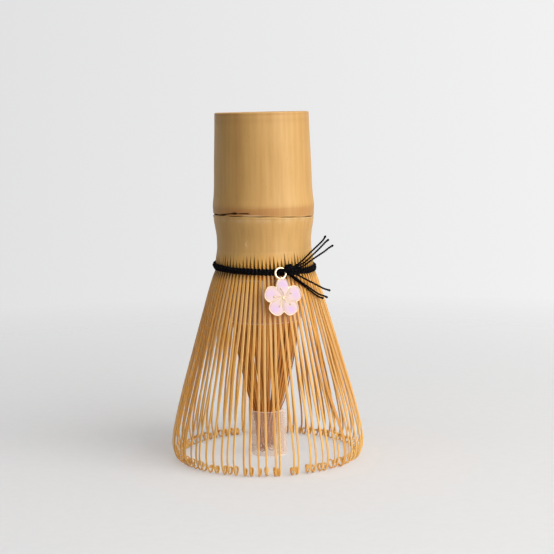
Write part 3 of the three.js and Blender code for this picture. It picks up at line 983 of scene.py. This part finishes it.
def cord_knot():
    """Four tangled loops, and three strands that lead out through the jump ring and back to the band."""
    shape = Shape()
    for k in range(4):
        size = (1.5 - 0.16 * k, 1.65 - 0.14 * k, 0.5)
        shift = (0.08 * k - 0.1, 0.1 * (k - 1.5), 0.14 * (k - 1.5))
        add_yarn(shape, in_knot(trefoil(0.5 + 1.2 * k, size, shift)), 0.36, 1.5)
    for lift in (-0.42, 0.0, 0.42):
        strand = through([
            (1.2, 0.5 + lift * 0.8, 0.3), (0.3, 0.7 + lift * 0.8, 0.95), (-0.8, 0.4 + lift * 0.8, 1.05),
            (-1.5, 0.05 + lift * 0.7, 0.8), (-2.1, -0.25 + lift * 0.6, 0.1),
            (-2.45, -0.4 + lift * 0.5, -0.7), (-2.4, -0.45 + lift * 0.5, -1.2),
        ])
        add_yarn(shape, in_knot(strand), 0.3, 1.4)
    cord_piece("cord_knot", shape)


# The loose ends' paths across the front of the knot, as (sideways, up) from its middle.
TAIL_PATHS = {
    "up": [
        [(1.0, 0.5), (3.6, 1.9), (7.7, 5.0), (10.1, 6.7), (12.1, 8.2), (13.3, 9.6)],
        [(1.1, 0.2), (5.1, 1.6), (9.7, 4.8), (12.1, 6.6), (13.3, 7.5), (14.7, 8.3)],
        [(1.2, -0.3), (5.1, 0.6), (8.8, 2.5), (13.1, 4.6), (14.7, 5.5), (16.6, 6.3)],
    ],
    "down": [
        [(0.4, -0.6), (3.7, -2.5), (6.7, -4.1), (9.4, -5.5), (12.1, -6.9), (14.6, -7.8)],
        [(0.1, -1.0), (3.6, -3.9), (7.5, -6.6), (10.5, -8.6), (12.4, -9.3), (13.9, -10.0)],
        [(-0.3, -1.1), (2.3, -3.4), (5.8, -5.9), (9.4, -8.6), (11.0, -9.6), (12.7, -10.2)],
    ],
}
# How far each of their points stands out from the knot's middle.
TAIL_DEPTHS = np.interp(np.arange(6), [0, 1, 2, 5], [0.2, 0.65, 0.55, 0.0])


def dipped_tip(t):
    """Thickness along a loose end. The very tip is dipped in glue, so it is a little thicker."""
    return 1 + 0.22 * ease(t, 0.93, 0.965) - 0.6 * ease(t, 0.985, 1.0)


def cord_tails():
    """Six loose ends. Each lies a little behind the one before, and drops back to the knot's depth."""
    for side, paths in TAIL_PATHS.items():
        for i, flat in enumerate(paths):
            path = through(np.column_stack([flat, TAIL_DEPTHS - 0.5 * i]))
            shape = Shape()
            add_yarn(shape, in_knot(path), 0.34, 1.4, dipped_tip)
            cord_piece(f"cord_tail_{side}_{i + 1}", shape)


# ---- Jump ring and charm ----


def in_charm(points):
    """From the charm's own frame (right, up, outwards from its back) onto the whisk."""
    p = np.asarray(points, float)
    return CHARM_CENTRE + p[..., :1] * RIGHT + p[..., 1:2] * RISE + p[..., 2:3] * FACING


def turned_flat(points, angle):
    """Points turned in the charm's plane; angle 0 leaves the top petal at the top."""
    c, s = math.cos(angle), math.sin(angle)
    p = np.asarray(points, float)
    return np.column_stack([p[:, 0] * c - p[:, 1] * s, p[:, 0] * s + p[:, 1] * c, p[:, 2]])


def on_blossom(points, petal):
    """From a petal's own frame, in which it points straight up, onto the blossom."""
    return turned_flat(points, TAU * petal / PETALS + BLOSSOM_LEAN) + BLOSSOM_SHIFT


def at_height(flat, z):
    """Points in the charm's plane, all at one height above its back."""
    return np.column_stack([flat, np.full(len(flat), z)])


def jump_ring():
    """A round wire bent into a ring. Its cut ends meet on the right, a little above the middle."""
    cut_at, half_gap = 0.35, 0.05
    turn = np.linspace(cut_at + half_gap, cut_at + TAU - half_gap, 120)
    path = RING_CENTRE + RING_R * (np.cos(turn)[:, None] * RIGHT + np.sin(turn)[:, None] * RISE)
    start = ease(turn, turn[0] - 0.03, turn[0] + 0.05)
    end = 1 - ease(turn, turn[-1] - 0.05, turn[-1] + 0.03)
    section = round_section(RING_WIRE_R * (0.75 + 0.25 * np.minimum(start, end)), 20)
    shape = Shape()
    shape.grid(sweep(path, np.tile(FACING, (len(path), 1)), section))
    piece("jump_ring_wire", shape, gold, "jump_ring", "jump_ring", 60)


def lobe_sweep(inset):
    """How far round to each side a petal's edge runs before it meets the next petal."""
    half = math.pi / PETALS
    return half + math.asin((PETAL_CENTRE_R * math.sin(half) - inset / 2) / (PETAL_R - inset))


def lobe_edge(inset, width, count):
    """The round edge of the petal that points up. It is a little flat at its end, as a petal is."""
    phi = np.linspace(1, -1, count) * lobe_sweep(inset)
    flatten = 1 - 0.05 * np.cos(phi) ** 6 + 0.035 * bell(np.abs(phi), 0.75, 0.35)
    r = (PETAL_R - inset) * flatten
    return np.column_stack([width * r * np.sin(phi), PETAL_CENTRE_R + r * np.cos(phi)])


def blossom_outline(inset):
    """The blossom's edge, or a line inside it, as points in the charm's plane."""
    lobes = [at_height(lobe_edge(inset, width, 44), 0) for width in PETAL_WIDTHS]
    return np.vstack([on_blossom(lobe, k)[:, :2] for k, lobe in enumerate(lobes)])


def add_plate(shape):
    """The cast plate: flat back with a rounded edge, up to the rim that holds the enamel."""
    profile = [
        (0.3, 0.0), (0.1, 0.06), (0.0, 0.22), (0.0, RIM_TOP - 0.12), (0.05, RIM_TOP - 0.03),
        (0.12, RIM_TOP), (0.19, RIM_TOP - 0.03), (0.24, RIM_TOP - 0.1), (0.26, PLATE),
    ]
    rows = [at_height(blossom_outline(inset), z) for inset, z in profile]
    towards_middle = (0.75, 0.4, 0.01)
    back = [rows[0] * (share, share, 1) for share in towards_middle[::-1]]
    front = [rows[-1] * (share, share, 1) for share in towards_middle]
    shape.grid(in_charm(np.array([*back, *rows, *front])), tarnish=0)


def add_rod(shape, path, radius, tarnish, end_radius=None):
    """A smooth metal line along a path in the charm's frame, even or tapered."""
    radii = np.linspace(radius, radius if end_radius is None else end_radius, len(path))
    rows = sweep(in_charm(path), np.tile(FACING, (len(path), 1)), round_section(radii, 12))
    shape.grid(rows, tarnish=tarnish)


def add_bead(shape, centre, radii, petal, tarnish):
    """A small rounded drop of metal, flattened on the enamel."""
    v, u = np.meshgrid(np.linspace(0.02, math.pi - 0.02, 12), full_turn(20), indexing="ij")
    ball = np.stack([np.sin(v) * np.cos(u), np.sin(v) * np.sin(u), np.cos(v)], -1) * radii
    placed = on_blossom(ball.reshape(-1, 3) + centre, petal).reshape(ball.shape)
    shape.grid(in_charm(placed), tarnish=tarnish)


def petal_line(t):
    """The swirling line between two petals, from the charm's middle out to the notch."""
    return np.column_stack([0.42 * np.sin(math.pi * t) * (1 - 0.4 * t), 3.9 * t, 0 * t])


def add_petal_lines(shape, petal):
    """One petal's stamen with its bead, and the line that parts it from the next petal."""
    t = np.linspace(0, 1, 40)
    divider = petal_line(t) + (0, 0, PLATE + 0.2)
    # The lines and beads take a painted darker reflection, most on the stamen and its bead.
    add_rod(shape, on_blossom(divider, petal + 0.5), 0.13, 0.25, end_radius=0.104)
    sway = 0.5 * np.sin(TAU * t * 0.78) * t
    stamen = np.column_stack([sway, 0.3 + 2.35 * t, PLATE + 0.24 + 0.05 * np.sin(math.pi * t)])
    add_rod(shape, on_blossom(stamen, petal), 0.108, 0.6, end_radius=0.063)
    bead = (stamen[-1][0], stamen[-1][1] + 0.18, PLATE + 0.27)
    add_bead(shape, bead, (0.28, 0.38, 0.16), petal, 0.7)


def add_bail(shape):
    """The flattened loop behind the top petal that hangs in the jump ring, and the foot that joins
    it to the plate."""
    hinge_y = CHARM_DROP - RING_R
    phi = full_turn(48)
    loop = np.column_stack([0 * phi, hinge_y + BAIL_R * np.cos(phi), -STANDOFF + BAIL_R * np.sin(phi)])
    section = round_section(np.ones(len(phi)), 14) * (0.24, 0.19)
    shape.grid(sweep_loop(in_charm(loop), np.tile(RIGHT, (len(phi), 1)), section), loop=True, tarnish=0)
    foot = [(0, hinge_y - 1.5, 0.03), (0, hinge_y - 1.1, -0.12), (0, hinge_y - 0.6, -0.28)]
    add_rod(shape, through(foot, 8), 0.3, 0)


def charm_frame():
    shape = Shape()
    add_plate(shape)
    for petal in range(PETALS):
        add_petal_lines(shape, petal)
    add_bead(shape, (0, 0, PLATE + 0.18), (0.42, 0.42, 0.3), 0, 0.2)
    add_bail(shape)
    piece("charm_cast_frame", shape, gold, "charm", "charm_frame", 50)


def petal_outline(width):
    """The edge of one petal's enamel, the one that points up."""
    inset, gap = 0.22, 0.1
    half = math.pi / PETALS
    line = petal_line(np.linspace(0.12, 0.8, 16))
    left = turned_flat(line, half)[:, :2] + gap * np.array([math.cos(half), math.sin(half)])
    right = turned_flat(line, -half)[:, :2] - gap * np.array([math.cos(half), -math.sin(half)])
    return respaced(np.vstack([right, lobe_edge(inset, width, 56), left[::-1], right[:1]]), 97)[:-1]


# The enamel's domed face, as (share of the way in from its edge, height above the plate).
ENAMEL_DOME = [
    (0.0, -0.2), (0.0, 0.1), (0.05, 0.165), (0.14, 0.2), (0.3, 0.235), (0.5, 0.255), (0.75, 0.265),
    (0.99, 0.27),
]


def charm_petals():
    """Five drops of enamel. The mark 'inner' is strongest where each is lilac, towards its end."""
    lilac_middle, lilac_width = (0.2, 4.3), 1.7
    for k, width in enumerate(PETAL_WIDTHS):
        outline = petal_outline(width)
        middle = outline.mean(0)
        flats = [middle + (outline - middle) * (1 - share) for share, _ in ENAMEL_DOME]
        under = middle + (outline - middle) * 0.02
        rows = [at_height(under, PLATE - 0.2)]
        rows += [at_height(flat, PLATE + z) for flat, (_, z) in zip(flats, ENAMEL_DOME)]
        lilac = [bell(np.linalg.norm(flat - lilac_middle, axis=1), 0, lilac_width) for flat in flats]
        shape = Shape()
        points = in_charm([on_blossom(row, k) for row in rows])
        shape.grid(points, inner=np.array([lilac[0], *lilac]))
        name = f"charm_petal_{k + 1}"
        piece(name + "_enamel", shape, enamel, "charm", name, 60)


# ---- Clear film ----


def film_tube(node, material, profile, overlap, seam, lift, seed):
    """A strip of film rolled into a tube, whose radius and height are the profile. Its end laps over
    its start by overlap, shows at the seam's azimuth and springs away from the tube by lift."""
    rng = np.random.default_rng(seed)
    end_turn = TAU + overlap
    turn = np.linspace(0, end_turn, 200)
    waves = [(rng.integers(2, 5), rng.uniform(0, TAU), rng.uniform(0.02, 0.05)) for _ in range(3)]
    uneven = sum(size * np.sin(k * turn + phase) for k, phase, size in waves)
    lap = FILM * 1.3 * turn / TAU + lift * ease(turn, end_turn - 2.5 * lift**0.5, end_turn)
    outward, _ = around(turn + seam - end_turn)
    outside = np.array([outward * (r - FILM * 1.5 + lap + uneven)[:, None] + UP * z for r, z in profile])
    inside = outside - outward * FILM
    sheet = np.concatenate([outside, inside[::-1]])
    rim = np.zeros(len(profile))
    rim[[0, -1]] = 1
    edge = np.maximum(ease(turn, end_turn - 0.035, end_turn - 0.02), rim[:, None])
    edge = np.concatenate([edge, edge[::-1]])
    shape = Shape()
    shape.grid(sheet.transpose(1, 0, 2), edge=edge.T)
    piece(node + "_film", shape, material, node, node, 40)


def film_heights(low, high, count):
    """Heights for a film's rows, with two close together at each rim so the cut edge shows."""
    return np.array([low, *np.linspace(low + 0.16, high - 0.16, count), high])


def tip_sleeve():
    heights = film_heights(SLEEVE_LOW[2], SLEEVE_HIGH[2], 20)
    profile = [(SLEEVE_HIGH[0] - 0.02 + 0.03 * math.sin(z * 0.7), z) for z in heights]
    film = clear_film("sleeve_film", haze=0.13, glow=0.12)
    film_tube("tip_sleeve", film, profile, overlap=1.2, seam=1.8, lift=0.7, seed=4)


def spreader_collar():
    low, high = COLLAR_LOW[2], COLLAR_HIGH[2]
    slope = (COLLAR_HIGH[0] - COLLAR_FOOT_R) / (high - low)
    profile = [(COLLAR_FOOT_R + slope * (z - low), z) for z in film_heights(low, high, 18)]
    film = clear_film("collar_film", haze=0.05, glow=0.03)
    film_tube("spreader_collar", film, profile, overlap=0.5, seam=-0.035, lift=0.12, seed=9)


# ---- Stage, in metres ----


def floor_material():
    """Pale and plain. It fades into the backdrop with distance, so no horizon shows, and glows
    faintly, most of all under the whisk, as light that comes in between the tines would make it."""
    n = Material("pale_floor")
    fine = n.noise(n.place(300, 300, 300), 3.0)
    n.principled(Base_Color=n.ramp(fine, (0.3, 0.88), (0.7, 0.9)), Roughness=0.8, Specular_IOR_Level=0.15)
    distance = n.add("VectorMath", {0: n.position()}, operation="LENGTH").outputs["Value"]
    glow = n.add("Emission", {"Color": (0.84, 0.835, 0.83, 1)})
    in_view = n.add("LightPath").outputs["Is Camera Ray"]
    lift = n.times(n.ramp(distance, (0.022, 0.5), (0.036, 0.12)), in_view)
    fade = n.ramp(distance, (0.05, 0.0), (0.38, 1.0))
    n.show(n.blended(fade, n.blended(lift, n.shader, glow), n.add("BsdfTransparent")))
    return n.material


def floor():
    half, z = 1.7, cad_box[0][2] - 0.02 * MM
    corners = [(x * half, y * half, z) for x, y in ((-1, -1), (1, -1), (1, 1), (-1, 1))]
    mesh = bpy.data.meshes.new("floor")
    mesh.from_pydata(corners, [], [(0, 1, 2, 3)])
    mesh.materials.append(floor_material())
    into_scene("floor", mesh)


def world(ambient, reflected, left, right):
    """Soft light from all round, brighter in reflections, as a white room is in shiny things. What
    the camera sees of it runs from one pale grey at the left to another at the right."""
    background = bpy.data.worlds.new("studio")
    bpy.context.scene.world = background
    n = Nodes(background)
    ray = n.add("LightPath").outputs
    strength = n.add("MapRange", {"Value": ray["Is Glossy Ray"], "To Min": ambient, "To Max": reflected})
    light = n.add("Background", {"Color": (1.0, 0.99, 0.98, 1), "Strength": strength.outputs["Result"]})
    across = n.add("SeparateXYZ", {"Vector": n.add("TexCoord").outputs["Window"]}).outputs["X"]
    seen = n.add("Background", {"Color": n.ramp(across, (0.0, left), (1.0, right))})
    n.show(n.blended(ray["Is Camera Ray"], light, seen), "World Output")


def area_light(name, azimuth, elevation, distance, size, power, colour):
    """A square soft light that faces the whisk's middle."""
    light = bpy.data.lights.new(name, "AREA")
    light.size = size
    light.energy = power
    light.color = colour
    obj = into_scene(name, light)
    a, e = math.radians(azimuth), math.radians(elevation)
    direction = Vector((math.sin(a) * math.cos(e), -math.cos(a) * math.cos(e), math.sin(e)))
    obj.location = Vector((0, 0, HEIGHT / 2 * MM)) + direction * distance
    obj.rotation_euler = direction.to_track_quat("Z", "Y").to_euler()


def camera():
    data = bpy.data.cameras.new("camera")
    data.lens = CAMERA_LENS
    data.sensor_width = 36
    obj = into_scene("camera", data)
    turn = Matrix.Rotation(math.pi / 2 - CAMERA_PITCH, 4, "X") @ Matrix.Rotation(CAMERA_ROLL, 4, "Z")
    obj.matrix_world = Matrix.Translation(CAMERA_PLACE) @ turn
    bpy.context.scene.camera = obj


def studio():
    floor()
    world(0.062, 0.7, srgb(226, 226, 227), srgb(241, 241, 241))
    area_light("key", 50, 22, 1.1, 1.15, 14.2, (1.0, 0.988, 0.975))
    area_light("overhead", 60, 86, 1.4, 1.8, 12.5, (1.0, 1.0, 1.0))
    camera()
    bpy.context.scene.view_settings.view_transform = "Standard"


handle()
outer_tines()
inner_tines()
cord_band()
cord_weave()
cord_knot()
cord_tails()
jump_ring()
charm_frame()
charm_petals()
tip_sleeve()
spreader_collar()
studio()
